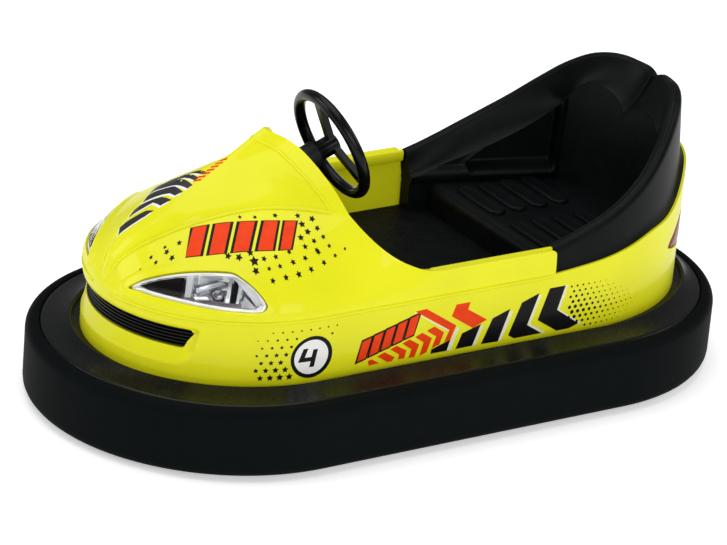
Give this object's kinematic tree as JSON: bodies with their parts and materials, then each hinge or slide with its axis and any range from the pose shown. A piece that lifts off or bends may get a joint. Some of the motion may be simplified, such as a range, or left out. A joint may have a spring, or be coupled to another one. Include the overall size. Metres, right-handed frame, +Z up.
{
  "type": "toy bumper car",
  "caption": "Small die-cast toy bumper car with a yellow shell, black bucket seat, steering wheel, rubber ring and wheels under a flat base.",
  "frame": {"origin": "on the floor under the middle of the rubber ring", "axes": "+X to the nose, +Y to the driver's left, +Z up"},
  "size_m": [0.12, 0.063, 0.0493],
  "materials": {
    "ring_rubber": "matte moulded rubber",
    "deck_plastic": "satin moulded plastic",
    "pan_plastic": "satin moulded plastic",
    "motor_plastic": "moulded plastic",
    "body_paint": "gloss paint over die-cast metal",
    "grille_plastic": "satin moulded plastic",
    "clear_lens": "clear moulded lens",
    "lamp_chrome": "vacuum-metallised plastic",
    "red_lens": "translucent red lens",
    "seat_plastic": "fine-grained moulded plastic",
    "wheel_plastic": "semi-gloss moulded plastic",
    "axle_steel": "plain steel wire",
    "road_wheel": "moulded plastic"
  },
  "bodies": {
    "car": {"bumper_ring": "ring_rubber", "deck": "deck_plastic", "chassis_pan": "pan_plastic", "motor_block": "motor_plastic", "body_shell": "body_paint", "grille": "grille_plastic", "headlamp_lens_left": "clear_lens", "headlamp_lens_right": "clear_lens", "headlamp_reflector_left": "lamp_chrome", "headlamp_reflector_right": "lamp_chrome", "tail_lamp_left": "red_lens", "tail_lamp_right": "red_lens", "seat_tub": "seat_plastic", "dash": "seat_plastic"},
    "steering": {"steering_wheel": "wheel_plastic"},
    "front_wheelset": {"front_axle": "axle_steel", "front_wheel_left": "road_wheel", "front_wheel_right": "road_wheel"},
    "rear_wheelset": {"rear_axle": "axle_steel", "rear_wheel_left": "road_wheel", "rear_wheel_right": "road_wheel"}
  },
  "joints": [
    {"name": "steering_turn", "type": "hinge", "parent": "car", "child": "steering", "pos_m": [0.0114, 0, 0.0403], "axis": [-0.9245, 0, 0.3811], "continuous": true},
    {"name": "front_wheels_roll", "type": "hinge", "parent": "car", "child": "front_wheelset", "pos_m": [0.031, 0, 0.0048], "axis": [0, 1, 0], "continuous": true},
    {"name": "rear_wheels_roll", "type": "hinge", "parent": "car", "child": "rear_wheelset", "pos_m": [-0.031, 0, 0.0048], "axis": [0, 1, 0], "continuous": true}
  ]
}
